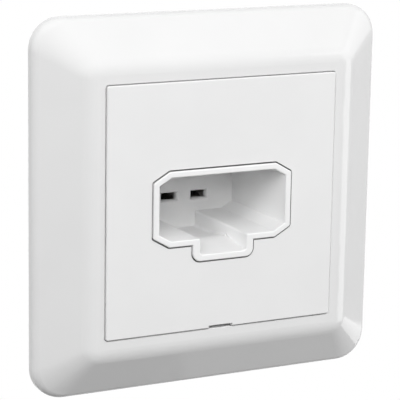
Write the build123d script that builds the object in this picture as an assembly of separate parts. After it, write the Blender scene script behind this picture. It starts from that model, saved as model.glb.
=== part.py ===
from build123d import *
from math import cos, radians, tan
import os

# Flush wall outlet that a ceiling or wall luminaire is plugged into.
# X runs to the right as seen from the front, Y runs into the wall and Z runs up.
# The origin is the centre of the box screw pattern, on the wall plane. Sizes are millimetres.

# Cover frame
FRAME_SIDE = 85.0
FRAME_BAND = 14.2              # from the outer edge to the centre plate
FRAME_HEIGHT = 9.6             # from the wall plane to the front face
FRAME_UPRIGHT = 2.95           # upright outer wall below the bevel
FRAME_CORNER_R = 7.0
FRAME_WALL = 2.0
BEVEL_ANGLE = 33.0             # between the bevel and the wall plane, degrees
BEVEL_TOP_CORNER_R = 3.0       # plan radius where the bevel meets the front face
BEVEL_TOP_ROUND = 6.0          # rounding between the bevel and the front face
OUTER_EDGE_ROUND = 2.4         # rounding between the bevel and the upright wall
WINDOW_LIP = 1.8               # thickness of the lip round the window
LEDGE_WIDTH = 2.0              # how far the ledge reaches under the centre plate
LEDGE_THICK = 1.2
FRAME_RIB_THICK = 1.2
FRAME_RIB_X = 18.0             # two ribs on each side, this far from its middle
FRAME_RIB_FOOT = 1.6           # ribs stop this far in front of the wall plane
WINDOW_EDGE = 0.15             # broken edge round the window

# Centre plate
PLATE_PROUD = 0.4              # of the plate in front of the frame
PLATE_THICK = 2.0
PLATE_GAP = 0.18               # between the plate and the frame, and between plate and rim
PLATE_CORNER_R = 0.5
PLATE_EDGE = 0.2               # broken edge round the plate
CUT_OUT_EDGE = 0.15            # broken edge round the plate's cut-out
PRY_NOTCH_WIDTH = 6.0
PRY_NOTCH_HEIGHT = 0.65
SKIRT_THICK = 0.9
SKIRT_HEIGHT = 2.0
COLLAR_THICK = 1.0             # stiffening collar behind the plate, round the cut-out
LEG_X = 16.0
LEG_INSET = 4.6                # from the plate's edge to the outer face of a snap leg
LEG_WIDTH = 5.0
LEG_THICK = 1.4
BARB_REACH = 0.8
BARB_LENGTH = 2.2
LEG_CLEAR = 0.15

# Socket body
RECESS_WIDTH = 31.55
RECESS_TOP = 7.15              # above the axis of the box screws
RECESS_BOTTOM = 7.15           # below that axis
RECESS_DEPTH = 25.8            # from the rim to the back wall
RECESS_CHAMFER = 2.9           # width of the sloping corners
RECESS_CHAMFER_ANGLE = 30.0    # of the sloping corners, degrees from level
RIM_WALL = 1.4
RIM_PROUD = 0.4                # of the rim in front of the plate
RIM_ROUND = 0.3
RIM_CORNER_R = 0.6
KEY_WIDTH = 11.55
KEY_X = 0.2                    # middle of the key channel from the middle of the recess
KEY_DEPTH = 3.75               # below the floor of the recess
KEY_SIDE_WALL = 1.8
KEY_FLOOR_WALL = 1.5
KEY_CORNER_R = 1.9
KEY_EDGE_R = 0.5               # rounding between the recess floor and the key channel
DETENT_START = 0.6             # from the rim to the foot of the detent hump
DETENT_RUN = 9.2               # from the foot to the crest
DETENT_FALL = 9.6              # from the crest back down to the floor
DETENT_RISE = 1.35
DETENT_CREST_R = 16.0
NOTCH_LENGTH = 1.4             # small notch in the channel's wall beside the crest
NOTCH_LEAD = 1.0               # of its front end before the crest
NOTCH_DROP = 0.25              # of its foot below the crest's sharp corner
NOTCH_HEIGHT = 0.6
NOTCH_DEPTH = 0.45
BACK_WALL = 1.6
SLOT_WIDTH = 3.85
SLOT_HEIGHT = 1.75
SLOT_LEAD_IN = 0.35
SLOT_LEAD_DEPTH = 0.6
SLOT_PITCH = 7.75
SLOT_ROW_X = -0.8              # middle slot from the centre line
SLOT_ROW_Z = -3.3
FLANGE_WIDTH = 2.0
FLANGE_THICK = 2.4
BOSS_REACH = 3.9               # from the tunnel's wall to the middle of a screw boss
BOSS_R = 3.2
BOSS_WEB = 2.0
EAR_HEIGHT = 10.0
PILOT_DEPTH = 7.0

# Mounting yoke
YOKE_SIDE = 71.0
YOKE_THICK = 1.0
YOKE_CORNER_R = 8.0
YOKE_CLEAR = 0.3
YOKE_FOLD_HEIGHT = 2.0
YOKE_FOLD_LENGTH = 24.0
YOKE_BEND_R = 0.3              # inside a fold
YOKE_RELIEF = 1.2              # width of the relief cuts beside a fold
BOX_SCREW_PITCH = 60.0
BOX_SLOT_WIDTH = 3.6
BOX_SLOT_LENGTH = 8.0

# Terminal base
BASE_WIDTH = 27.0
BASE_HEIGHT = 18.0
BASE_DEPTH = 17.8
BASE_WALL = 1.4
BASE_REAR_WALL = 1.6
BASE_CORNER_R = 2.0
BASE_EDGE = 0.5                # broken edge round the rear face
CHAMBER_WIDTH = 6.2
LUG_THICK = 2.6
WIRE_ENTRY_R = 2.0
WIRE_FUNNEL = 0.9
ACCESS_R = 2.6

# Contacts, springs and terminals
CONTACT_WIDTH = 4.4
CONTACT_THICK = 0.5
CONTACT_BEND_R = 0.9
CONTACT_SET_BACK = 1.4         # live and neutral mouths behind the back wall
EARTH_SET_BACK = 0.3           # the earth mouth stands further forward
MOUTH_HALF = 1.35
PINCH_HALF = 0.55
PINCH_SET_BACK = 4.4           # from the back wall to the pinch
PINCH_LENGTH = 3.0
TAIL_DEPTH = 2.6               # of the contact's tail in its block
SPRING_THICK = 0.4
SPRING_WIDTH = 1.6
SPRING_SEAM = 0.6
SPRING_CLEAR = 0.05
BLOCK_WIDTH = 6.0
BLOCK_LENGTH = 7.6
BLOCK_INSET = 4.0              # from the base's outside to a block's top and bottom
BLOCK_EDGE = 0.3
BLOCK_CLEAR = 0.05
WIRE_BORE_R = 1.6
WIRE_BORE_DEPTH = 5.2
WIRE_BORE_Z = 0.5
CLAMP_SCREW_R = 1.45
CLAMP_HEAD_R = 2.2
CLAMP_HEAD_HEIGHT = 1.7
CLAMP_SCREW_OUT = 0.6          # of the head above its block
CLAMP_TIP_CLEAR = 0.2          # of the open screw's tip above the wire bore
DRIVE_SLOT_WIDTH = 0.7
DRIVE_SLOT_DEPTH = 0.8

# Earth bonding strap and fasteners
STRAP_WIDTH = 5.0
STRAP_THICK = 0.6
STRAP_BEND_R = 1.0
STRAP_CLEAR = 0.25
STRAP_TAB = 6.8
STRAP_NOSE = 1.0               # block metal in front of the strap's slot
STRAP_GRIP = 2.8               # depth of the strap's end in the earth block
RIVET_R = 1.25
RIVET_HEAD_R = 2.4
RIVET_HEAD_HEIGHT = 0.8
SCREW_R = 1.5
SCREW_HEAD_R = 2.8
SCREW_HEAD_HEIGHT = 1.9
SCREW_LENGTH = 6.5
SCREW_CLEAR = 0.2
THREAD_CLEAR = 0.05

# Levels along Y, negative in front of the wall
FRONT = -FRAME_HEIGHT
PLATE_FRONT = FRONT - PLATE_PROUD
PLATE_BACK = PLATE_FRONT + PLATE_THICK
LEDGE_BACK = PLATE_BACK + LEDGE_THICK
RIM_FRONT = PLATE_FRONT - RIM_PROUD
RECESS_BACK = RIM_FRONT + RECESS_DEPTH
BODY_REAR = RECESS_BACK + BACK_WALL
BASE_REAR = BODY_REAR + BASE_DEPTH
BLOCK_REAR = BASE_REAR - BASE_REAR_WALL
BLOCK_FRONT = BLOCK_REAR - BLOCK_LENGTH
CLAMP_Y = BLOCK_REAR - WIRE_BORE_DEPTH / 2
STRAP_Y = BLOCK_FRONT + STRAP_NOSE

# Other sizes that several pieces share
PLATE_SIDE = FRAME_SIDE - 2 * FRAME_BAND
WINDOW = PLATE_SIDE + 2 * PLATE_GAP
LEDGE_OPENING = WINDOW - 2 * LEDGE_WIDTH
LEG_OUTER_Z = PLATE_SIDE / 2 - LEG_INSET
KEY_FLOOR_Z = -(RECESS_BOTTOM + KEY_DEPTH)
TUNNEL_HALF = RECESS_WIDTH / 2 + RIM_WALL
BOSS_X = TUNNEL_HALF + BOSS_REACH
BLOCK_HEIGHT = BASE_HEIGHT - 2 * BLOCK_INSET
BLOCK_TOP_Z = BLOCK_HEIGHT / 2
STRAP_RUN_Z = RECESS_TOP + RIM_WALL + FLANGE_WIDTH + STRAP_CLEAR
STRAP_TOP_Z = STRAP_RUN_Z + STRAP_TAB
RIVET_Z = (STRAP_RUN_Z + STRAP_BEND_R + STRAP_TOP_Z) / 2
POLES = {
    "live": SLOT_ROW_X - SLOT_PITCH,
    "earth": SLOT_ROW_X,
    "neutral": SLOT_ROW_X + SLOT_PITCH,
}
TOWARDS_FRONT = (0, -1, 0)


def upright_plane(y):
    """Plane parallel to the wall at depth y, drawn on as seen from the front."""
    return Plane.XZ.offset(-y)


def prism(outline, front, back):
    """Solid of an outline drawn as seen from the front, between two depths."""
    return extrude(upright_plane(back) * outline, amount=back - front, dir=TOWARDS_FRONT)


def side_profile(outline, width, x=0.0):
    """Solid of a profile drawn in depth and height, centred on x."""
    return Pos(x, 0, 0) * extrude(Plane.YZ * outline, amount=width / 2, both=True)


def post(radius, x, y, bottom, top):
    """Upright round bar."""
    return extrude(Plane.XY.offset(bottom) * Pos(x, y) * Circle(radius), amount=top - bottom)


def square(side, corner_r=0.0):
    """Square outline, with rounded corners where a radius is given."""
    if corner_r:
        return RectangleRounded(side, side, corner_r)
    return Rectangle(side, side)


def edges_at(part, y):
    """Edges that lie in the plane at depth y."""
    return part.edges().filter_by_position(Axis.Y, y - 1e-4, y + 1e-4)


def inner_edges(part, y, reach):
    """Edges in the plane at depth y whose middles lie within reach of the axis."""
    found = []
    for edge in edges_at(part, y):
        middle = edge.center()
        if max(abs(middle.X), abs(middle.Z)) < reach:
            found.append(edge)
    return found


def recess_outline():
    """Opening of the recess without its key, with four sloping corners."""
    half = RECESS_WIDTH / 2
    flat = half - RECESS_CHAMFER
    drop = RECESS_CHAMFER * tan(radians(RECESS_CHAMFER_ANGLE))
    right = [
        (flat, RECESS_TOP),
        (half, RECESS_TOP - drop),
        (half, drop - RECESS_BOTTOM),
        (flat, -RECESS_BOTTOM),
    ]
    left = [(-x, z) for x, z in reversed(right)]
    return make_face(Polyline(*right, *left, close=True))


def key_outline(width, bottom, corner_r):
    """Key channel below the recess, from the axis down to its rounded bottom corners."""
    return Pos(KEY_X, bottom / 2) * RectangleRounded(width, -bottom, corner_r)


def tunnel_inside():
    """Outline of the space that the plug goes into."""
    outline = recess_outline() + key_outline(KEY_WIDTH, KEY_FLOOR_Z, KEY_CORNER_R / 3)
    shoulders = []
    for corner in outline.vertices():
        if abs(corner.Y + RECESS_BOTTOM) < 1e-4 and abs(corner.X - KEY_X) < KEY_WIDTH:
            shoulders.append(corner)
    return fillet(shoulders, KEY_EDGE_R)


def tunnel_outside(extra=0.0):
    """Outline of the tunnel's outer wall, grown by extra."""
    wall = offset(recess_outline(), RIM_WALL + extra, kind=Kind.INTERSECTION)
    wall = fillet(wall.vertices(), RIM_CORNER_R)
    key_width = KEY_WIDTH + 2 * (KEY_SIDE_WALL + extra)
    key_bottom = KEY_FLOOR_Z - KEY_FLOOR_WALL - extra
    return wall + key_outline(key_width, key_bottom, KEY_CORNER_R + extra)


def bevelled_block(side, upright, height, corner_r, top_corner_r):
    """Solid block with an upright foot and a bevel that narrows towards the front."""
    run = (height - upright) / tan(radians(BEVEL_ANGLE))
    foot = square(side, corner_r)
    top = square(side - 2 * run, top_corner_r)
    bevel = loft([upright_plane(-upright) * foot, upright_plane(-height) * top], ruled=True)
    return prism(foot, -upright, 0) + bevel


def cover_frame():
    """Moulded frame: a bevelled shell with a ledge for the plate and ribs behind the bevel."""
    shell = bevelled_block(
        FRAME_SIDE, FRAME_UPRIGHT, FRAME_HEIGHT, FRAME_CORNER_R, BEVEL_TOP_CORNER_R
    )
    shell = fillet(edges_at(shell, FRONT), BEVEL_TOP_ROUND)
    shell = fillet(edges_at(shell, -FRAME_UPRIGHT), OUTER_EDGE_ROUND)

    slope = radians(BEVEL_ANGLE)
    inner_upright = FRAME_UPRIGHT + FRAME_WALL * tan(slope) - FRAME_WALL / cos(slope)
    hollow = bevelled_block(
        FRAME_SIDE - 2 * FRAME_WALL,
        inner_upright,
        FRAME_HEIGHT - FRAME_WALL,
        FRAME_CORNER_R - FRAME_WALL,
        BEVEL_TOP_CORNER_R / 2,
    )
    lip = prism(square(WINDOW + 2 * WINDOW_LIP), FRONT + FRAME_WALL / 2, LEDGE_BACK)
    ribs = Part()
    for turn in range(4):
        for x in (-FRAME_RIB_X, FRAME_RIB_X):
            bar = Pos(x, FRAME_SIDE / 4) * Rectangle(FRAME_RIB_THICK, FRAME_SIDE / 2)
            ribs += prism(Rot(0, 0, 90 * turn) * bar, FRONT, -FRAME_RIB_FOOT)
    frame = shell - hollow + lip + (ribs & hollow)
    frame -= prism(square(LEDGE_OPENING), 2 * FRONT, FRAME_HEIGHT)
    frame -= prism(square(WINDOW, PLATE_CORNER_R + PLATE_GAP), 2 * FRONT, PLATE_BACK)
    frame = chamfer(inner_edges(frame, FRONT, WINDOW / 2 + WINDOW_EDGE), WINDOW_EDGE)

    pry_pocket = Pos(0, -WINDOW / 2 + LEDGE_WIDTH / 2) * Rectangle(PRY_NOTCH_WIDTH, LEDGE_WIDTH)
    frame -= prism(pry_pocket, PLATE_BACK, LEDGE_BACK)
    return frame


def snap_leg(x, up):
    """Leg behind the plate whose barb hooks behind the yoke; up is 1 or -1."""
    outer = up * LEG_OUTER_Z
    inner = up * (LEG_OUTER_Z - LEG_THICK)
    catch = LEG_CLEAR
    tip = catch + BARB_LENGTH
    profile = Polyline(
        (PLATE_BACK, inner),
        (PLATE_BACK, outer),
        (catch, outer),
        (catch, outer + up * BARB_REACH),
        (tip, outer - up * LEG_THICK / 3),
        (tip, inner),
        close=True,
    )
    return side_profile(make_face(profile), LEG_WIDTH, x)


def centre_plate():
    """Plate that fills the window, with a skirt, a collar and four snap legs on its back."""
    plate = prism(square(PLATE_SIDE, PLATE_CORNER_R), PLATE_FRONT, PLATE_BACK)
    plate = chamfer(edges_at(plate, PLATE_FRONT), PLATE_EDGE)
    cut_out = tunnel_outside(PLATE_GAP)
    skirt_side = LEDGE_OPENING - 2 * PLATE_GAP
    skirt = square(skirt_side) - square(skirt_side - 2 * SKIRT_THICK)
    plate += prism(skirt, PLATE_BACK, PLATE_BACK + SKIRT_HEIGHT)
    collar = tunnel_outside(PLATE_GAP + COLLAR_THICK)
    plate += prism(collar, PLATE_BACK, PLATE_BACK + SKIRT_HEIGHT)
    plate -= prism(cut_out, 2 * FRONT, 0)
    plate = chamfer(inner_edges(plate, PLATE_FRONT, LEG_OUTER_Z), CUT_OUT_EDGE)
    notch_z = (PRY_NOTCH_HEIGHT - PLATE_SIDE) / 2
    notch = Pos(0, notch_z) * Rectangle(PRY_NOTCH_WIDTH, PRY_NOTCH_HEIGHT)
    plate -= prism(notch, 2 * FRONT, PLATE_BACK)
    for x in (-LEG_X, LEG_X):
        for up in (1, -1):
            plate += snap_leg(x, up)
    return plate


def blade_slot(x):
    """Cutter for one blade slot with a tapered lead-in on the recess side."""
    place = Pos(x, SLOT_ROW_Z)
    hole = Rectangle(SLOT_WIDTH, SLOT_HEIGHT)
    mouth = Rectangle(SLOT_WIDTH + 2 * SLOT_LEAD_IN, SLOT_HEIGHT + 2 * SLOT_LEAD_IN)
    lead_in = loft(
        [
            upright_plane(RECESS_BACK) * place * mouth,
            upright_plane(RECESS_BACK + SLOT_LEAD_DEPTH) * place * hole,
        ],
        ruled=True,
    )
    return lead_in + prism(place * hole, RECESS_BACK, BODY_REAR)


def socket_body():
    """Moulded insert: rim, keyed tunnel, latch ramp, slotted back wall, flange and bosses."""
    inside = tunnel_inside()
    outside = tunnel_outside()
    body = prism(outside - inside, RIM_FRONT, RECESS_BACK) + prism(outside, RECESS_BACK, BODY_REAR)
    body = fillet(edges_at(body, RIM_FRONT), RIM_ROUND)

    foot = RIM_FRONT + DETENT_START
    crest = foot + DETENT_RUN
    crest_z = KEY_FLOOR_Z + DETENT_RISE
    slopes = Polyline(
        (foot, KEY_FLOOR_Z),
        (crest, crest_z),
        (crest + DETENT_FALL, KEY_FLOOR_Z),
        close=True,
    )
    hump = make_face(slopes)
    hump = fillet(hump.vertices().sort_by(Axis.Y)[-1:], DETENT_CREST_R)
    body += side_profile(hump, KEY_WIDTH, KEY_X)
    notch_z = crest_z - NOTCH_DROP + NOTCH_HEIGHT / 2
    notch = Pos(KEY_X + KEY_WIDTH / 2, notch_z) * Rectangle(2 * NOTCH_DEPTH, NOTCH_HEIGHT)
    body -= prism(notch, crest - NOTCH_LEAD, crest - NOTCH_LEAD + NOTCH_LENGTH)

    ears = RectangleRounded(2 * (BOSS_X + BOSS_R), EAR_HEIGHT, BOSS_R)
    flange = tunnel_outside(FLANGE_WIDTH) + ears - outside
    body += prism(flange, 0, FLANGE_THICK)
    for side in (-1, 1):
        boss = Pos(side * BOSS_X, 0)
        web = Pos(side * (TUNNEL_HALF + BOSS_X) / 2, 0) * Rectangle(BOSS_REACH, BOSS_WEB)
        body += prism(boss * Circle(BOSS_R) + web, 0, BODY_REAR)
        pilot = boss * Circle(SCREW_R + THREAD_CLEAR)
        body -= prism(pilot, 0, PILOT_DEPTH) + prism(pilot, BODY_REAR - PILOT_DEPTH, BODY_REAR)
    for x in POLES.values():
        body -= blade_slot(x)
    return body


def mounting_yoke():
    """Pressed steel plate with folded edges, box screw slots and windows for the snap legs."""
    sheet = square(YOKE_SIDE, YOKE_CORNER_R) - tunnel_outside(YOKE_CLEAR)
    edge = YOKE_SIDE / 2
    bend = YOKE_THICK + YOKE_BEND_R
    bay = Rectangle(2 * (bend + YOKE_RELIEF), YOKE_FOLD_LENGTH + 2 * YOKE_RELIEF)
    for turn in range(4):
        sheet -= Rot(0, 0, 90 * turn) * Pos(edge, 0) * bay
    window_height = LEG_THICK + BARB_REACH + 2 * LEG_CLEAR
    window_z = LEG_OUTER_Z + LEG_CLEAR - window_height / 2
    for x in (-LEG_X, LEG_X):
        for up in (1, -1):
            sheet -= Pos(x, up * window_z) * Rectangle(LEG_WIDTH + 2 * LEG_CLEAR, window_height)
    for x in (-BOSS_X, BOSS_X):
        sheet -= Pos(x, 0) * Circle(SCREW_R + SCREW_CLEAR)
    sheet -= Pos(POLES["earth"], RIVET_Z) * Circle(RIVET_R + THREAD_CLEAR)
    yoke = prism(sheet, -YOKE_THICK, 0)

    line = FilletPolyline(
        (0, edge - bend - YOKE_RELIEF),
        (0, edge),
        (-YOKE_THICK - YOKE_FOLD_HEIGHT, edge),
        radius=bend,
    )
    fold = side_profile(make_face(offset(line, YOKE_THICK, side=Side.LEFT)), YOKE_FOLD_LENGTH)
    box_slot = SlotOverall(BOX_SLOT_LENGTH, BOX_SLOT_WIDTH)
    for turn in range(4):
        yoke += Rot(0, 90 * turn, 0) * fold
    for turn in range(4):
        slot = Rot(0, 0, 90 * turn) * Pos(BOX_SCREW_PITCH / 2, 0) * box_slot
        yoke -= prism(slot, -YOKE_THICK, 0)
    return yoke


def terminal_base():
    """Rear housing: three chambers open towards the socket body, wire entries and lugs."""
    base = prism(RectangleRounded(BASE_WIDTH, BASE_HEIGHT, BASE_CORNER_R), BODY_REAR, BASE_REAR)
    base = chamfer(edges_at(base, BASE_REAR), BASE_EDGE)
    lugs = SlotOverall(2 * (BOSS_X + BOSS_R), 2 * BOSS_R)
    base += prism(lugs, BODY_REAR, BODY_REAR + LUG_THICK)
    chamber_height = BASE_HEIGHT - 2 * BASE_WALL
    seat_height = chamber_height / 2 - BLOCK_HEIGHT / 2
    seat_z = -(chamber_height - seat_height) / 2
    for x in POLES.values():
        chamber = Pos(x, 0) * Rectangle(CHAMBER_WIDTH, chamber_height)
        base -= prism(chamber, BODY_REAR, BLOCK_REAR)
        seat = Pos(x, seat_z) * Rectangle(CHAMBER_WIDTH, seat_height)
        base += prism(seat, BLOCK_FRONT, BLOCK_REAR)
        entry = upright_plane(BLOCK_REAR) * Pos(x, WIRE_BORE_Z) * Circle(WIRE_ENTRY_R)
        mouth = upright_plane(BASE_REAR) * Pos(x, WIRE_BORE_Z) * Circle(WIRE_ENTRY_R + WIRE_FUNNEL)
        base -= loft([entry, mouth], ruled=True)
        base -= post(ACCESS_R, x, CLAMP_Y, BLOCK_TOP_Z, BASE_HEIGHT)
    strap_slot = Rectangle(STRAP_WIDTH + 2 * STRAP_CLEAR, 2 * BASE_WALL)
    strap_slot = Pos(POLES["earth"], BASE_HEIGHT / 2) * strap_slot
    base -= prism(strap_slot, STRAP_Y - STRAP_CLEAR, STRAP_Y + STRAP_THICK + STRAP_CLEAR)
    for x in (-BOSS_X, BOSS_X):
        base -= prism(Pos(x, 0) * Circle(SCREW_R + SCREW_CLEAR), BODY_REAR, BASE_REAR)
    return base


def contact(x, set_back):
    """Strip folded double: two leaves with a flared mouth, a pinch and a tail."""
    pinch = BODY_REAR + PINCH_SET_BACK
    line = FilletPolyline(
        (BODY_REAR + set_back, MOUTH_HALF),
        (pinch, PINCH_HALF),
        (pinch + PINCH_LENGTH, PINCH_HALF),
        (BLOCK_FRONT - PINCH_HALF, 0),
        (BLOCK_FRONT + TAIL_DEPTH, 0),
        radius=CONTACT_BEND_R,
    )
    leaf = make_face(offset(line, CONTACT_THICK, side=Side.LEFT))
    pair = leaf + mirror(leaf, about=Plane.XZ)
    return Pos(0, 0, SLOT_ROW_Z) * side_profile(pair, CONTACT_WIDTH, x)


def contact_spring(x):
    """Steel band round the two leaves, open along a seam below."""
    width = CONTACT_WIDTH + 2 * SPRING_CLEAR
    height = 2 * (PINCH_HALF + CONTACT_THICK)
    band = Rectangle(width + 2 * SPRING_THICK, height + 2 * SPRING_THICK) - Rectangle(width, height)
    band -= Pos(0, -height / 2) * Rectangle(SPRING_SEAM, 2 * SPRING_THICK + height / 2)
    front = BODY_REAR + PINCH_SET_BACK + (PINCH_LENGTH - SPRING_WIDTH) / 2
    return prism(Pos(x, SLOT_ROW_Z) * band, front, front + SPRING_WIDTH)


def terminal_block(x, takes_strap):
    """Brass block with a wire bore, a clamp screw hole and a slot for the contact's tail."""
    block = prism(Pos(x, 0) * Rectangle(BLOCK_WIDTH, BLOCK_HEIGHT), BLOCK_FRONT, BLOCK_REAR)
    block = chamfer(block.edges(), BLOCK_EDGE)
    bore = Pos(x, WIRE_BORE_Z) * Circle(WIRE_BORE_R)
    block -= prism(bore, BLOCK_REAR - WIRE_BORE_DEPTH, BLOCK_REAR)
    block -= post(CLAMP_SCREW_R + THREAD_CLEAR, x, CLAMP_Y, WIRE_BORE_Z, BLOCK_TOP_Z)
    tail_height = 2 * (CONTACT_THICK + BLOCK_CLEAR)
    tail = Pos(x, SLOT_ROW_Z) * Rectangle(CONTACT_WIDTH + 2 * BLOCK_CLEAR, tail_height)
    block -= prism(tail, BLOCK_FRONT, BLOCK_FRONT + TAIL_DEPTH + BLOCK_CLEAR)
    if takes_strap:
        grip_z = BLOCK_TOP_Z - STRAP_GRIP / 2
        grip = Pos(x, grip_z) * Rectangle(BLOCK_WIDTH, STRAP_GRIP + 2 * BLOCK_CLEAR)
        block -= prism(grip, STRAP_Y - BLOCK_CLEAR, STRAP_Y + STRAP_THICK + BLOCK_CLEAR)
    return block


def terminal_screw(x):
    """Clamp screw with a cheese head and a driver slot, backed off to leave its wire bore free."""
    seat = BLOCK_TOP_Z + CLAMP_SCREW_OUT
    tip = WIRE_BORE_Z + WIRE_BORE_R + CLAMP_TIP_CLEAR
    screw = post(CLAMP_SCREW_R, x, CLAMP_Y, tip, seat)
    head = post(CLAMP_HEAD_R, x, CLAMP_Y, seat, seat + CLAMP_HEAD_HEIGHT)
    drive = Pos(x, CLAMP_Y) * Rectangle(2 * CLAMP_HEAD_R, DRIVE_SLOT_WIDTH)
    drive_floor = seat + CLAMP_HEAD_HEIGHT - DRIVE_SLOT_DEPTH
    head -= extrude(Plane.XY.offset(drive_floor) * drive, amount=2 * DRIVE_SLOT_DEPTH)
    return screw + head


def earth_bonding_strap():
    """Copper strip from behind the yoke, over the tunnel and down into the earth block."""
    line = FilletPolyline(
        (0, STRAP_TOP_Z),
        (0, STRAP_RUN_Z),
        (STRAP_Y, STRAP_RUN_Z),
        (STRAP_Y, BLOCK_TOP_Z - STRAP_GRIP),
        radius=STRAP_BEND_R,
    )
    strip = make_face(offset(line, STRAP_THICK, side=Side.LEFT))
    strap = side_profile(strip, STRAP_WIDTH, POLES["earth"])
    hole = Pos(POLES["earth"], RIVET_Z) * Circle(RIVET_R + THREAD_CLEAR)
    return strap - prism(hole, 0, STRAP_THICK)


def bonding_rivet():
    """Rivet through the yoke and the strap's tab."""
    place = Pos(POLES["earth"], RIVET_Z)
    rivet = prism(place * Circle(RIVET_R), -YOKE_THICK, STRAP_THICK)
    head = place * Circle(RIVET_HEAD_R)
    rivet += prism(head, -YOKE_THICK - RIVET_HEAD_HEIGHT, -YOKE_THICK)
    rivet += prism(head, STRAP_THICK, STRAP_THICK + RIVET_HEAD_HEIGHT)
    return rivet


def pan_screw(x, seat, into):
    """Screw with a slotted pan head on the plane y = seat; into is 1 or -1 along Y."""
    place = Pos(x, 0)
    tip = seat + into * SCREW_LENGTH
    top = seat - into * SCREW_HEAD_HEIGHT
    slot_floor = top + into * DRIVE_SLOT_DEPTH
    screw = prism(place * Circle(SCREW_R), min(seat, tip), max(seat, tip))
    head = prism(place * Circle(SCREW_HEAD_R), min(seat, top), max(seat, top))
    head = chamfer(edges_at(head, top), SCREW_HEAD_HEIGHT / 3)
    drive = place * Rectangle(2 * SCREW_HEAD_R, DRIVE_SLOT_WIDTH)
    head -= prism(drive, min(top, slot_floor), max(top, slot_floor))
    return screw + head


def pieces():
    """Every node of the outlet by its name."""
    nodes = {
        "cover_frame": cover_frame(),
        "centre_plate": centre_plate(),
        "socket_body": socket_body(),
        "mounting_yoke": mounting_yoke(),
        "terminal_base": terminal_base(),
        "earth_bonding_strap": earth_bonding_strap(),
        "bonding_rivet": bonding_rivet(),
        "body_screws": Compound([pan_screw(x, -YOKE_THICK, 1) for x in (-BOSS_X, BOSS_X)]),
        "base_screws": Compound([pan_screw(x, BODY_REAR + LUG_THICK, -1) for x in (-BOSS_X, BOSS_X)]),
    }
    for pole, x in POLES.items():
        set_back = EARTH_SET_BACK if pole == "earth" else CONTACT_SET_BACK
        nodes[pole + "_contact"] = contact(x, set_back)
        nodes[pole + "_contact_spring"] = contact_spring(x)
        nodes[pole + "_terminal_block"] = terminal_block(x, pole == "earth")
        nodes[pole + "_terminal_screw"] = terminal_screw(x)
    return nodes


os.makedirs("parts", exist_ok=True)
for name, shape in pieces().items():
    export_step(shape, f"parts/{name}.step")
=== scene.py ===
# %% [markdown]
# A flush wall outlet that a ceiling lamp or wall lamp is plugged into. The solid pieces
# come ready made and at their real size, so this lesson gives them their finish, their
# light and their camera, and adds the fine threads that the solids leave out.

# %% Load the solid pieces
import bpy
import math
from mathutils import Matrix, Quaternion, Vector


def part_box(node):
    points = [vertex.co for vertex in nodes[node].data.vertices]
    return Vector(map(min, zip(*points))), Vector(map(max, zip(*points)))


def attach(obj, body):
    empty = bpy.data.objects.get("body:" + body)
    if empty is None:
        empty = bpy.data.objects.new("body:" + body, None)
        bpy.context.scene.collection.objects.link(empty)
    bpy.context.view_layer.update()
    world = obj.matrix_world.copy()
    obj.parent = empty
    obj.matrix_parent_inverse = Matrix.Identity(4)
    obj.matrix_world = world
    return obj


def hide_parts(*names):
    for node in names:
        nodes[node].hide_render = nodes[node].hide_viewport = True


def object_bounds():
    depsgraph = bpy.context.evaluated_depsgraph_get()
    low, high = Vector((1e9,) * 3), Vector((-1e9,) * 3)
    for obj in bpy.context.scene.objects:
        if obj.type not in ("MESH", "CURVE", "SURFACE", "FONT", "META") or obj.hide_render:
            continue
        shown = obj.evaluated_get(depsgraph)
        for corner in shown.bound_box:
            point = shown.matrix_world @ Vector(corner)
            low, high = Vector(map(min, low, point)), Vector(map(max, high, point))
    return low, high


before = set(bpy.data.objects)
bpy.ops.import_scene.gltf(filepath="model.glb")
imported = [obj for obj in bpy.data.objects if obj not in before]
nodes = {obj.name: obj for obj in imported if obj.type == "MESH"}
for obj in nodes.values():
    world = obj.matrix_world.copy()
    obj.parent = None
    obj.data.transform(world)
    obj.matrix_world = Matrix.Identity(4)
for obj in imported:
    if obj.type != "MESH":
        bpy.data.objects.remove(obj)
cad_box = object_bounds()
print("pieces:", len(nodes), "box in mm:", [round(1000 * v) for v in cad_box[1] - cad_box[0]])

# %% [markdown]
# The camera stands where the photographer stood: to the left of the outlet and a little
# above it, with a long lens. An aim point, two angles and a distance say that more
# plainly than a matrix does. A slight roll is left in, because the picture has it.

# %% Camera
MM = 0.001
SENSOR_WIDTH = 36.0
LENS = 175.63
CAMERA_AIM = Vector((-0.62, 0.0, -0.91)) * MM
CAMERA_DISTANCE = 443.3 * MM
CAMERA_AZIMUTH = -27.17
CAMERA_ELEVATION = 12.57
CAMERA_ROLL = 0.945
CLIP_START = 10 * MM


def direction(azimuth, elevation):
    """Unit vector from the outlet towards a place; azimuth 0 is straight in front."""
    a = math.radians(azimuth)
    e = math.radians(elevation)
    return Vector((math.sin(a) * math.cos(e), -math.cos(a) * math.cos(e), math.sin(e)))


def link(thing):
    """Put an object into the scene and return it."""
    bpy.context.scene.collection.objects.link(thing)
    return thing


camera = link(bpy.data.objects.new("camera", bpy.data.cameras.new("camera")))
camera.data.sensor_width = SENSOR_WIDTH
camera.data.lens = LENS
camera.data.clip_start = CLIP_START
camera_way = direction(CAMERA_AZIMUTH, CAMERA_ELEVATION)
camera.location = CAMERA_AIM + camera_way * CAMERA_DISTANCE
camera.rotation_mode = "QUATERNION"
roll = Quaternion((0, 0, 1), math.radians(CAMERA_ROLL))
camera.rotation_quaternion = (-camera_way).to_track_quat("-Z", "Y") @ roll
bpy.context.scene.camera = camera
print("camera at mm:", [round(v / MM) for v in camera.location])

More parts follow.
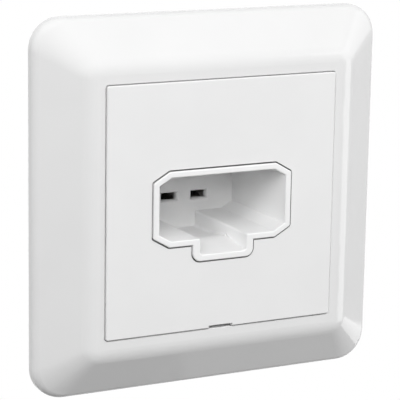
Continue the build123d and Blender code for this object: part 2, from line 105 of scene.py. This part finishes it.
# %% [markdown]
# The picture was taken in a white studio. The key light is broad and hangs high on the
# left, and a weaker one on the right fills its shadows. Two more stand behind the outlet,
# for the rim's far edges and for the parts that the wall hides in use. These four shine
# through a diffusing tent, so they light the surface and leave no hard image of a lamp in
# the gloss. Three panels stand on the right without a tent, and these are mirrored: one as
# the bright line along the rounding, the others at the two right corners. All hang at one
# distance, so that their powers can be compared.

# %% Studio light
LIGHT_DISTANCE = 0.9
LIGHTS = {
    "key": {"azimuth": -36, "elevation": 30, "size": (1.0, 0.5), "power": 8.5, "mirrored": False},
    "fill": {"azimuth": 50, "elevation": 36, "size": (0.85, 0.5), "power": 2.9, "mirrored": False},
    "left_back": {"azimuth": -120, "elevation": 35, "size": (0.6, 1.0), "power": 3.0, "mirrored": False},
    "back": {"azimuth": 155, "elevation": 10, "size": (1.0, 0.7), "power": 6.0, "mirrored": False},
    "line_panel": {"azimuth": 59, "elevation": -12, "size": (0.48, 0.48), "power": 1.5, "mirrored": True},
    "upper_panel": {"azimuth": 64, "elevation": 18, "size": (0.96, 0.48), "power": 1.5, "mirrored": True},
    "lower_panel": {"azimuth": 93, "elevation": -26, "size": (0.3, 0.27), "power": 0.4, "mirrored": True},
}


def softbox(name, azimuth, elevation, size, power, mirrored):
    """Rectangular area light that faces the outlet, and that gloss may or may not mirror."""
    lamp = bpy.data.lights.new(name, "AREA")
    lamp.shape = "RECTANGLE"
    lamp.size, lamp.size_y = size
    lamp.energy = power
    box = link(bpy.data.objects.new(name, lamp))
    way = direction(azimuth, elevation)
    box.location = way * LIGHT_DISTANCE
    box.rotation_euler = (-way).to_track_quat("-Z", "Y").to_euler()
    box.visible_glossy = mirrored
    return box


for light_name, settings in LIGHTS.items():
    softbox(light_name, **settings)
print("lights:", ", ".join(LIGHTS))

# %% [markdown]
# The white behind the outlet is the world's colour as the camera and the reflections
# see it. All other rays get nothing from it, so the white adds no light to the matt
# surfaces and the lamps alone shape them. The Light Path node tells the two kinds of ray
# apart.

# %% White surroundings
WHITE = (1.0, 1.0, 1.0, 1.0)
AMBIENT = 0.0
BACKDROP = 1.0

world = bpy.data.worlds.new("white_studio")
world.use_nodes = True
bpy.context.scene.world = world
wn, wl = world.node_tree.nodes, world.node_tree.links
room = wn["Background"]
room.inputs["Color"].default_value = WHITE
room.inputs["Strength"].default_value = AMBIENT
backdrop = wn.new("ShaderNodeBackground")
backdrop.inputs["Color"].default_value = WHITE
backdrop.inputs["Strength"].default_value = BACKDROP
path = wn.new("ShaderNodeLightPath")
mirrored = wn.new("ShaderNodeMath")
mirrored.operation = "MAXIMUM"
wl.new(path.outputs["Is Glossy Ray"], mirrored.inputs[0])
wl.new(path.outputs["Is Transmission Ray"], mirrored.inputs[1])
seen = wn.new("ShaderNodeMath")
seen.operation = "MAXIMUM"
wl.new(path.outputs["Is Camera Ray"], seen.inputs[0])
wl.new(mirrored.outputs[0], seen.inputs[1])
pick = wn.new("ShaderNodeMixShader")
wl.new(seen.outputs[0], pick.inputs[0])
wl.new(room.outputs[0], pick.inputs[1])
wl.new(backdrop.outputs[0], pick.inputs[2])
wl.new(pick.outputs[0], wn["World Output"].inputs["Surface"])
print("world: white as seen, and", AMBIENT, "as light")

# %% [markdown]
# The table is a plain pale disc far below the outlet, so that it throws only a little
# light up at the lower slope and leaves that side the darkest, as in the picture. The
# picture's edge hides it.

# %% Table
TABLE_DROP = 800 * MM
TABLE_RADIUS = 400 * MM
TABLE_FORWARD = 50 * MM
TABLE_SIDES = 96

table_z = cad_box[0].z - TABLE_DROP
camera_flat = Vector((camera_way.x, camera_way.y, 0.0)).normalized()
table_middle = camera_flat * TABLE_FORWARD + Vector((0, 0, table_z))
rim = []
for i in range(TABLE_SIDES):
    turn = 2 * math.pi * i / TABLE_SIDES
    rim.append(table_middle + TABLE_RADIUS * Vector((math.cos(turn), math.sin(turn), 0)))
table_mesh = bpy.data.meshes.new("table")
table_mesh.from_pydata(rim, [], [list(range(TABLE_SIDES))])
table = link(bpy.data.objects.new("table", table_mesh))
print("table at mm below the origin:", round(-table_z / MM))

# %% [markdown]
# Every finish starts from the same shader and the same helpers. One names a colour without
# a hue, and one makes a material with its colour, roughness and metal set on the shader's
# own sockets. The next returns a noise that sits on the object, so it stays in place from
# every side. Three turn that noise into a number, a tone or a relief, one leads a value
# into the shader, and the last puts the finish on its pieces.

# %% Helpers for the finishes
NOISE_LOW, NOISE_HIGH = 0.3, 0.7
BLOTCH_LOW, BLOTCH_HIGH = 0.35, 0.65


def grey(tone):
    """Colour without a hue."""
    return tone, tone, tone


def finish(name, colour, roughness, metal=0.0):
    """New material and its shader."""
    made = bpy.data.materials.new(name)
    made.use_nodes = True
    shader = made.node_tree.nodes["Principled BSDF"]
    shader.inputs["Base Color"].default_value = (*colour, 1)
    shader.inputs["Roughness"].default_value = roughness
    shader.inputs["Metallic"].default_value = metal
    return made, shader


def grain(made, size_mm, detail=2.0, stretch=(1, 1, 1)):
    """Noise on object coordinates with spots of the given size, longer along a stretched axis."""
    tree = made.node_tree
    place = tree.nodes.new("ShaderNodeTexCoord")
    shape = tree.nodes.new("ShaderNodeMapping")
    shape.inputs["Scale"].default_value = [1 / (size_mm * MM * s) for s in stretch]
    noise = tree.nodes.new("ShaderNodeTexNoise")
    noise.inputs["Scale"].default_value = 1.0
    noise.inputs["Detail"].default_value = detail
    tree.links.new(place.outputs["Object"], shape.inputs["Vector"])
    tree.links.new(shape.outputs["Vector"], noise.inputs["Vector"])
    return noise.outputs["Fac"]


def between(made, value, low, high, start=NOISE_LOW, stop=NOISE_HIGH):
    """Spread a value that runs from start to stop, such as a noise, over a range of numbers."""
    spread = made.node_tree.nodes.new("ShaderNodeMapRange")
    spread.inputs["From Min"].default_value = start
    spread.inputs["From Max"].default_value = stop
    spread.inputs["To Min"].default_value = low
    spread.inputs["To Max"].default_value = high
    made.node_tree.links.new(value, spread.inputs["Value"])
    return spread.outputs["Result"]


def blotch(made, value, dark, light):
    """Colour that wanders between two tones with a noise."""
    ramp = made.node_tree.nodes.new("ShaderNodeValToRGB")
    ramp.color_ramp.elements[0].position = BLOTCH_LOW
    ramp.color_ramp.elements[0].color = (*dark, 1)
    ramp.color_ramp.elements[1].position = BLOTCH_HIGH
    ramp.color_ramp.elements[1].color = (*light, 1)
    made.node_tree.links.new(value, ramp.inputs["Fac"])
    return ramp.outputs["Color"]


def relief(made, shader, value, depth_mm, strength=1.0):
    """Fine bumps from a noise."""
    bump = made.node_tree.nodes.new("ShaderNodeBump")
    bump.inputs["Distance"].default_value = depth_mm * MM
    bump.inputs["Strength"].default_value = strength
    made.node_tree.links.new(value, bump.inputs["Height"])
    made.node_tree.links.new(bump.outputs["Normal"], shader.inputs["Normal"])


def join(made, value, shader, socket):
    """Lead a value into one of the shader's sockets."""
    made.node_tree.links.new(value, shader.inputs[socket])


def paint(made, slot, *names):
    """Give solid pieces a finish. The slot argument is not used."""
    for name in names:
        nodes[name].data.materials.clear()
        nodes[name].data.materials.append(made)
    print(made.name, "on", ", ".join(names))


# %% [markdown]
# The cover frame is pressed in a polished mould, so it is glossy. Its tone is very even
# and only wanders a little where the plastic cooled at different speeds. A faint wave in
# the surface, like the skin of an orange, keeps the reflections from being perfect.

# %% Glossy white of the cover frame
TONE_DRIFT = 0.008
FRAME_TONE = 0.82

frame_white, shader = finish("glossy_white", grey(FRAME_TONE), roughness=0.05)
slow = grain(frame_white, size_mm=18)
tones = blotch(frame_white, slow, grey(FRAME_TONE - TONE_DRIFT), grey(FRAME_TONE + TONE_DRIFT))
join(frame_white, tones, shader, "Base Color")
join(frame_white, between(frame_white, slow, low=0.04, high=0.06), shader, "Roughness")
relief(frame_white, shader, grain(frame_white, size_mm=2.5), depth_mm=0.004)
paint(frame_white, "frame_gloss_white", "cover_frame")

# %% [markdown]
# The centre plate and the socket are moulded with a fine spark-eroded grain, which makes
# them satin. The grain is far smaller than a millimetre, so it shows as softer light and
# not as a pattern. The two share their recipe, and the socket is the whiter of the two,
# because its deep walls have to hand the light on to one another.

# %% Satin white of the centre plate and the socket
ROUGH_DRIFT = 0.05


def satin_white(name, tone, rough):
    """Grained white plastic."""
    made, shader = finish(name, grey(tone), rough)
    tones = blotch(made, grain(made, size_mm=14), grey(tone - TONE_DRIFT), grey(tone + TONE_DRIFT))
    join(made, tones, shader, "Base Color")
    sheen = between(made, grain(made, size_mm=6), rough - ROUGH_DRIFT, rough + ROUGH_DRIFT)
    join(made, sheen, shader, "Roughness")
    relief(made, shader, grain(made, size_mm=0.25, detail=3.0), depth_mm=0.006)
    return made


plate_white = satin_white("plate_white", tone=0.86, rough=0.38)
paint(plate_white, "plate_satin_white", "centre_plate")
socket_white = satin_white("socket_white", tone=0.92, rough=0.42)
paint(socket_white, "socket_satin_white", "socket_body")

# %% [markdown]
# The joint between the socket's rim and the plate is a fifth of a millimetre wide, and the
# shade in it is painted into the colour as a darker tone. The joint is found by asking twice
# how open the surface is, once among all pieces and once for the piece alone. Where the two
# answers differ, another piece lies very near, while a piece's own inner corners stay
# unshaded. The painted shade goes only on what lies level, so the upright sides of the joint
# keep their tone. The joint round the plate is left unshaded but for the frame's lower ledge, which faces
# up.

# %% Painted shade in the joints
JOINT_REACH = 0.45 * MM
JOINT_RAYS = 16
JOINT_FROM, JOINT_TO = 0.1, 0.4
UPRIGHT_FROM, UPRIGHT_TO = 0.7, 0.98
LEDGE_FROM, LEDGE_TO = 0.5, 0.9
# Painted shade stays within this radius of the outlet's middle.
SHADED_RADIUS = 24 * MM
MIX_A, MIX_B, MIX_RESULT = 6, 7, 2      # the colour sockets of a mix node


def combine(made, operation, first, second):
    """Math on two values."""
    math_node = made.node_tree.nodes.new("ShaderNodeMath")
    math_node.operation = operation
    made.node_tree.links.new(first, math_node.inputs[0])
    made.node_tree.links.new(second, math_node.inputs[1])
    return math_node.outputs[0]


def openness(made, alone):
    """How open the surface is to what lies near, for the piece alone or among all pieces."""
    near = made.node_tree.nodes.new("ShaderNodeAmbientOcclusion")
    near.samples = JOINT_RAYS
    near.only_local = alone
    near.inputs["Distance"].default_value = JOINT_REACH
    return near.outputs["AO"]


def settling(made, ledge_only):
    """Where shade is painted: on a ledge that faces up, or all round the rim but for upright sides."""
    tree = made.node_tree
    here = tree.nodes.new("ShaderNodeTexCoord")
    facing = tree.nodes.new("ShaderNodeSeparateXYZ")
    tree.links.new(here.outputs["Normal"], facing.inputs[0])
    if ledge_only:
        return between(made, facing.outputs["Z"], 0, 1, LEDGE_FROM, LEDGE_TO)
    sideways = combine(made, "MULTIPLY", facing.outputs["X"], facing.outputs["X"])
    level = between(made, sideways, 1, 0, UPRIGHT_FROM ** 2, UPRIGHT_TO ** 2)
    from_middle = tree.nodes.new("ShaderNodeVectorMath")
    from_middle.operation = "LENGTH"
    tree.links.new(here.outputs["Object"], from_middle.inputs[0])
    close = between(made, from_middle.outputs["Value"], 1, 0, SHADED_RADIUS, SHADED_RADIUS + MM)
    return combine(made, "MULTIPLY", level, close)


def dusty(made, tone, ledge_only=False):
    """Paint shade into a finish: its colour falls to a dark tone in its joint."""
    tree = made.node_tree
    shader = tree.nodes["Principled BSDF"]
    unshaded_tone = shader.inputs["Base Color"].links[0].from_socket
    closed = combine(made, "SUBTRACT", openness(made, True), openness(made, False))
    joint = between(made, closed, 0, 1, JOINT_FROM, JOINT_TO)
    painted_shade = combine(made, "MULTIPLY", joint, settling(made, ledge_only))
    mixed = tree.nodes.new("ShaderNodeMix")
    mixed.data_type = "RGBA"
    # Painted shade: the joint's colour is mixed towards the dark tone.
    tree.links.new(painted_shade, mixed.inputs["Factor"])
    tree.links.new(unshaded_tone, mixed.inputs[MIX_A])
    mixed.inputs[MIX_B].default_value = (*grey(tone), 1)
    tree.links.new(mixed.outputs[MIX_RESULT], shader.inputs["Base Color"])
    # The printed tone is that of the painted joint shade.
    print("dust tone of", made.name, "is", tone)


# Painted shade: these calls darken the colour in the joints of the plate, the socket and the frame's lower
# ledge.
dusty(plate_white, tone=0.16)
dusty(socket_white, tone=0.42)
dusty(frame_white, tone=0.2, ledge_only=True)

# %% [markdown]
# The terminal base behind the wall is a heat-proof, chalky plastic that is a little
# yellower and quite matt, with tiny specks of filler.

# %% Matt off-white of the terminal base
base_white, shader = finish("chalky_white", (0.68, 0.67, 0.64), roughness=0.6)
specks = grain(base_white, size_mm=0.6, detail=4.0)
tones = blotch(base_white, specks, dark=(0.64, 0.63, 0.6), light=(0.7, 0.69, 0.66))
join(base_white, tones, shader, "Base Color")
sheen = between(base_white, grain(base_white, size_mm=5), low=0.52, high=0.68)
join(base_white, sheen, shader, "Roughness")
relief(base_white, shader, specks, depth_mm=0.01)
paint(base_white, "base_grey_white", "terminal_base")

# %% [markdown]
# The yoke and the rivet are steel with a thin coat of zinc. Zinc dries in pale and dark
# patches, and the rolled sheet below leaves fine streaks along one way.

# %% Zinc-plated sheet
zinc, shader = finish("zinc_sheet", (0.6, 0.61, 0.62), roughness=0.38, metal=1.0)
patches = grain(zinc, size_mm=7, detail=3.0)
streaks = grain(zinc, size_mm=0.35, stretch=(14, 1, 1))
tones = blotch(zinc, patches, dark=(0.54, 0.55, 0.56), light=(0.66, 0.67, 0.68))
join(zinc, tones, shader, "Base Color")
join(zinc, between(zinc, streaks, low=0.28, high=0.48), shader, "Roughness")
relief(zinc, shader, streaks, depth_mm=0.004)
paint(zinc, "zinc_steel", "mounting_yoke", "bonding_rivet")

# %% [markdown]
# The small current-carrying pieces are strip metal. The contacts are tinned, so they look
# grey, the springs are bright, the blocks are drawn brass and the strap is tinned copper
# that shows some warmth through its coat. All are streaked along one axis.

# %% Strip metals
STREAK_DRIFT = 0.08


def strip_metal(name, dark, light, rough, stretch):
    """Rolled or drawn metal with streaks along one axis."""
    made, shader = finish(name, light, rough, metal=1.0)
    streaks = grain(made, size_mm=0.3, detail=3.0, stretch=stretch)
    join(made, blotch(made, grain(made, size_mm=2.5, detail=3.0), dark, light), shader, "Base Color")
    join(made, between(made, streaks, rough - STREAK_DRIFT, rough + STREAK_DRIFT), shader, "Roughness")
    relief(made, shader, streaks, depth_mm=0.003)
    return made


POLES = ("live", "earth", "neutral")
tinned_bronze = strip_metal(
    "tinned_bronze", dark=(0.42, 0.41, 0.39), light=(0.55, 0.54, 0.52), rough=0.32, stretch=(1, 10, 1),
)
paint(tinned_bronze, "contact_bronze", *[pole + "_contact" for pole in POLES])
bright_spring = strip_metal(
    "bright_spring", dark=(0.45, 0.46, 0.47), light=(0.56, 0.57, 0.58), rough=0.24, stretch=(10, 1, 1),
)
paint(bright_spring, "spring_steel", *[pole + "_contact_spring" for pole in POLES])
brass = strip_metal(
    "drawn_brass", dark=(0.66, 0.5, 0.24), light=(0.76, 0.6, 0.3), rough=0.3, stretch=(1, 10, 1),
)
paint(brass, "terminal_brass", *[pole + "_terminal_block" for pole in POLES])
tinned_copper = strip_metal(
    "tinned_copper", dark=(0.62, 0.55, 0.49), light=(0.7, 0.68, 0.65), rough=0.34, stretch=(1, 12, 1),
)
paint(tinned_copper, "tinned_copper", "earth_bonding_strap")

# %% [markdown]
# The table is matt and pale, with the slightest mottling.

# %% Table finish
table_finish, shader = finish("pale_table", grey(0.8), roughness=0.7)
mottle = blotch(table_finish, grain(table_finish, size_mm=30), dark=grey(0.79), light=grey(0.81))
join(table_finish, mottle, shader, "Base Color")
table.data.materials.append(table_finish)
print(table_finish.name, "on the table")

# %% [markdown]
# The screws are the one thing that repeats and follows a path, so a node tree makes them.
# A grid is wrapped round the shank, and its radius rises and falls with height and turn,
# which winds a ridge round the core. A second, short grid is wrapped into the head, and a
# box is taken out of it for the driver's slot. Named inputs let one tree make every size.

# %% Node tree for a threaded screw
AROUND = 36
SHANK_ROWS = 96

screw_tree = bpy.data.node_groups.new("threaded_screw", "GeometryNodeTree")
screw_inputs = {}


def tree_input(name, kind="NodeSocketFloat"):
    """Named input of the tree; its identifier is kept for the modifier."""
    socket = screw_tree.interface.new_socket(name, in_out="INPUT", socket_type=kind)
    screw_inputs[name] = socket.identifier


for size_name in (
    "Thread radius", "Core radius", "Length", "Pitch", "Head radius", "Head height",
    "Head edge", "Slot width", "Slot depth", "Spacing",
):
    tree_input(size_name)
tree_input("Finish", "NodeSocketMaterial")
screw_tree.interface.new_socket("Geometry", in_out="OUTPUT", socket_type="NodeSocketGeometry")
sizes = screw_tree.nodes.new("NodeGroupInput")
print("inputs of the screw tree:", len(screw_inputs))

# %% [markdown]
# Five small helpers keep the tree readable: one adds a node, one links or sets a socket,
# one does a sum, one lays out a flat grid, and one wraps it round the screw's axis.

# %% Helpers for the tree
SEAM = 0.002 * MM


def node(kind, **given):
    """New node whose inputs are set from sockets or plain values by name."""
    made = screw_tree.nodes.new(kind)
    for name, value in given.items():
        feed(made.inputs[name.replace("_", " ")], value)
    return made


def feed(socket, value):
    """Link a socket to another one, or set its plain value."""
    if isinstance(value, bpy.types.NodeSocket):
        screw_tree.links.new(value, socket)
    else:
        socket.default_value = value


def sums(operation, *values):
    """Math node and its result."""
    made = screw_tree.nodes.new("ShaderNodeMath")
    made.operation = operation
    for socket, value in zip(made.inputs, values):
        feed(socket, value)
    return made.outputs[0]


def flat_grid(rows):
    """Flat grid with its two coordinates, each from 0 to 1."""
    grid = node("GeometryNodeMeshGrid", Size_X=1.0, Size_Y=1.0, Vertices_X=AROUND + 1, Vertices_Y=rows)
    apart = node("ShaderNodeSeparateXYZ", Vector=node("GeometryNodeInputPosition").outputs[0])
    return grid.outputs["Mesh"], sums("ADD", apart.outputs["X"], 0.5), sums("ADD", apart.outputs["Y"], 0.5)


def wrapped(grid, turn, radius, height):
    """Grid bent round the axis, with its seam and its poles closed."""
    angle = sums("MULTIPLY", turn, 2 * math.pi)
    x = sums("MULTIPLY", radius, sums("COSINE", angle))
    y = sums("MULTIPLY", radius, sums("SINE", angle))
    place = node("ShaderNodeCombineXYZ", X=x, Y=y, Z=height)
    bent = node("GeometryNodeSetPosition", Geometry=grid, Position=place.outputs[0])
    merged = node("GeometryNodeMergeByDistance", Geometry=bent.outputs[0], Distance=SEAM)
    return merged.outputs[0]


# %% [markdown]
# The ridge is a saw that climbs one pitch for each turn. It fades over the last turn, as a
# rolled thread does, and the first and last rows shrink to the axis so the shank is closed.

# %% Shank with its thread
END_SHARE = 0.001

grid, turn, along = flat_grid(SHANK_ROWS)
whole = sums("ADD", sizes.outputs["Length"], sizes.outputs["Head edge"])
depth = sums("MULTIPLY", along, whole)
phase = sums("FRACT", sums("ADD", sums("DIVIDE", depth, sizes.outputs["Pitch"]), turn))
ridge = sums("SUBTRACT", 1.0, sums("ABSOLUTE", sums("SUBTRACT", sums("MULTIPLY", phase, 2.0), 1.0)))
left = sums("DIVIDE", sums("SUBTRACT", whole, depth), sizes.outputs["Pitch"])
fade = sums("MINIMUM", left, 1.0)
rise = sums("SUBTRACT", sizes.outputs["Thread radius"], sizes.outputs["Core radius"])
radius = sums("ADD", sizes.outputs["Core radius"], sums("MULTIPLY", rise, sums("MULTIPLY", ridge, fade)))
inside = sums("MULTIPLY", sums("GREATER_THAN", along, END_SHARE), sums("LESS_THAN", along, 1 - END_SHARE))
shank_height = sums("SUBTRACT", sizes.outputs["Head edge"], depth)
shank = wrapped(grid, turn, sums("MULTIPLY", radius, inside), shank_height)

# %% [markdown]
# The head is five rings: the middle of its top, the top's rim, the two ends of its side,
# and the middle of its seat. A pick by row gives each ring its radius and its height. The
# box for the slot reaches past the head on both sides, and its middle lies at the head's
# top, so it is made twice as tall as the slot is deep.

# %% Head with its slot
HEAD_RINGS = 5
SLOT_REACH = 3.0        # length of the slot's box, in radii of the head

grid, turn, along = flat_grid(HEAD_RINGS)
row = sums("ROUND", sums("MULTIPLY", along, HEAD_RINGS - 1))


def by_row(*values):
    """Value picked by the row's number."""
    made = screw_tree.nodes.new("GeometryNodeIndexSwitch")
    made.data_type = "FLOAT"
    while len(made.index_switch_items) < len(values):
        made.index_switch_items.new()
    feed(made.inputs["Index"], row)
    for i, value in enumerate(values):
        feed(made.inputs[str(i)], value)
    return made.outputs[0]


head_r, head_h, head_edge = (sizes.outputs[n] for n in ("Head radius", "Head height", "Head edge"))
ring_r = by_row(0.0, sums("SUBTRACT", head_r, head_edge), head_r, head_r, 0.0)
ring_z = by_row(head_h, head_h, sums("SUBTRACT", head_h, head_edge), 0.0, 0.0)
head = wrapped(grid, turn, ring_r, ring_z)
slot_size = node(
    "ShaderNodeCombineXYZ", X=sums("MULTIPLY", head_r, SLOT_REACH), Y=sizes.outputs["Slot width"],
    Z=sums("MULTIPLY", sizes.outputs["Slot depth"], 2.0),
)
slot_box = node("GeometryNodeMeshCube", Size=slot_size.outputs[0])
slot_place = node("ShaderNodeCombineXYZ", Z=head_h)
slot_tool = node(
    "GeometryNodeTransform", Geometry=slot_box.outputs["Mesh"], Translation=slot_place.outputs[0],
)
slotted = screw_tree.nodes.new("GeometryNodeMeshBoolean")
slotted.operation = "DIFFERENCE"
feed(slotted.inputs["Mesh 1"], head)
feed(slotted.inputs["Mesh 2"], slot_tool.outputs[0])

# %% [markdown]
# The shank and the head are joined, smoothed where they are round, and set on two points
# that lie a given distance apart. A distance of nothing leaves one screw, because the two
# fall together and one of them is dropped.

# %% Copies, finish and output
SHARP_ANGLE = math.radians(35)
SAME_POINT = 0.1 * MM

both = screw_tree.nodes.new("GeometryNodeJoinGeometry")
feed(both.inputs[0], slotted.outputs["Mesh"])
feed(both.inputs[0], shank)
bend = node("GeometryNodeInputMeshEdgeAngle")
gentle = screw_tree.nodes.new("FunctionNodeCompare")
gentle.operation = "LESS_THAN"
feed(gentle.inputs[0], bend.outputs["Unsigned Angle"])
feed(gentle.inputs[1], SHARP_ANGLE)
faces_smooth = node("GeometryNodeSetShadeSmooth", Geometry=both.outputs[0], Shade_Smooth=True)
smooth = screw_tree.nodes.new("GeometryNodeSetShadeSmooth")
smooth.domain = "EDGE"
feed(smooth.inputs[0], faces_smooth.outputs[0])
feed(smooth.inputs["Shade Smooth"], gentle.outputs[0])
start = node("ShaderNodeCombineXYZ", X=sums("MULTIPLY", sizes.outputs["Spacing"], -0.5))
step = node("ShaderNodeCombineXYZ", X=sizes.outputs["Spacing"])
pair = node("GeometryNodeMeshLine", Count=2, Start_Location=start.outputs[0], Offset=step.outputs[0])
points = node("GeometryNodeMergeByDistance", Geometry=pair.outputs[0], Distance=SAME_POINT)
copies = node("GeometryNodeInstanceOnPoints", Points=points.outputs[0], Instance=smooth.outputs[0])
real = node("GeometryNodeRealizeInstances", Geometry=copies.outputs[0])
dressed = node("GeometryNodeSetMaterial", Geometry=real.outputs[0], Material=sizes.outputs["Finish"])
output = screw_tree.nodes.new("NodeGroupOutput")
feed(output.inputs[0], dressed.outputs[0])
print("nodes in the screw tree:", len(screw_tree.nodes))

# %% [markdown]
# Screw steel is zinc plated too, but brighter than the sheet, with finer patches and a
# fine grain.

# %% Screw finish
screw_steel, shader = finish("screw_steel", (0.62, 0.62, 0.61), roughness=0.3, metal=1.0)
patches = grain(screw_steel, size_mm=1.2, detail=3.0)
tones = blotch(screw_steel, patches, dark=(0.52, 0.52, 0.51), light=(0.66, 0.66, 0.65))
join(screw_steel, tones, shader, "Base Color")
sheen = between(screw_steel, grain(screw_steel, size_mm=0.25, detail=3.0), low=0.22, high=0.4)
join(screw_steel, sheen, shader, "Roughness")
relief(screw_steel, shader, grain(screw_steel, size_mm=0.2), depth_mm=0.003)

# %% [markdown]
# Each screw takes its measures from the plain solid that it stands for. The tree's result
# is turned into an ordinary mesh, and its place is worked into the mesh, so the object
# itself sits at the origin like the solids do.

# %% Make the screws
THREAD_DEPTH = 0.28 * MM
SLOT_WIDTH = 0.7 * MM
SLOT_DEPTH = 0.8 * MM


def threaded(name, solid, place, **measures):
    """Screws from the tree, put in place of a plain solid."""
    rough = bpy.data.meshes.new(name)
    thing = link(bpy.data.objects.new(name, rough))
    maker = thing.modifiers.new("maker", "NODES")
    maker.node_group = screw_tree
    for size_name, value in measures.items():
        maker[screw_inputs[size_name.replace("_", " ")]] = value
    maker[screw_inputs["Slot width"]] = SLOT_WIDTH
    maker[screw_inputs["Slot depth"]] = SLOT_DEPTH
    maker[screw_inputs["Finish"]] = screw_steel
    ready = thing.evaluated_get(bpy.context.evaluated_depsgraph_get())
    plain = bpy.data.meshes.new_from_object(ready)
    thing.modifiers.remove(maker)
    thing.data = plain
    bpy.data.meshes.remove(rough)
    plain.transform(place)
    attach(thing, "root")
    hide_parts(solid)
    print(name, "faces:", len(plain.polygons))


PAN_HEAD = 1.9 * MM
PAN_SHANK = 1.5 * MM
for name, heads_to_front in (("body_screws", True), ("base_screws", False)):
    low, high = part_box(name)
    head_radius = (high.z - low.z) / 2
    seat = low.y + PAN_HEAD if heads_to_front else high.y - PAN_HEAD
    quarter = 90 if heads_to_front else -90
    threaded(
        name + "_threaded", name,
        Matrix.Translation((0, seat, 0)) @ Matrix.Rotation(math.radians(quarter), 4, "X"),
        Thread_radius=PAN_SHANK, Core_radius=PAN_SHANK - THREAD_DEPTH, Pitch=0.8 * MM,
        Length=high.y - low.y - PAN_HEAD, Spacing=high.x - low.x - 2 * head_radius,
        Head_radius=head_radius, Head_height=PAN_HEAD, Head_edge=PAN_HEAD / 3,
    )

CHEESE_HEAD = 1.7 * MM
CLAMP_SHANK = 1.45 * MM
for pole in POLES:
    low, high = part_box(pole + "_terminal_screw")
    middle = (low + high) / 2
    threaded(
        pole + "_terminal_screw_threaded", pole + "_terminal_screw",
        Matrix.Translation((middle.x, middle.y, high.z - CHEESE_HEAD)),
        Thread_radius=CLAMP_SHANK, Core_radius=CLAMP_SHANK - THREAD_DEPTH, Pitch=0.5 * MM,
        Length=high.z - low.z - CHEESE_HEAD, Spacing=0.0,
        Head_radius=(high.x - low.x) / 2, Head_height=CHEESE_HEAD, Head_edge=0.12 * MM,
    )

# %% Finish
bpy.context.scene.view_settings.view_transform = "Standard"
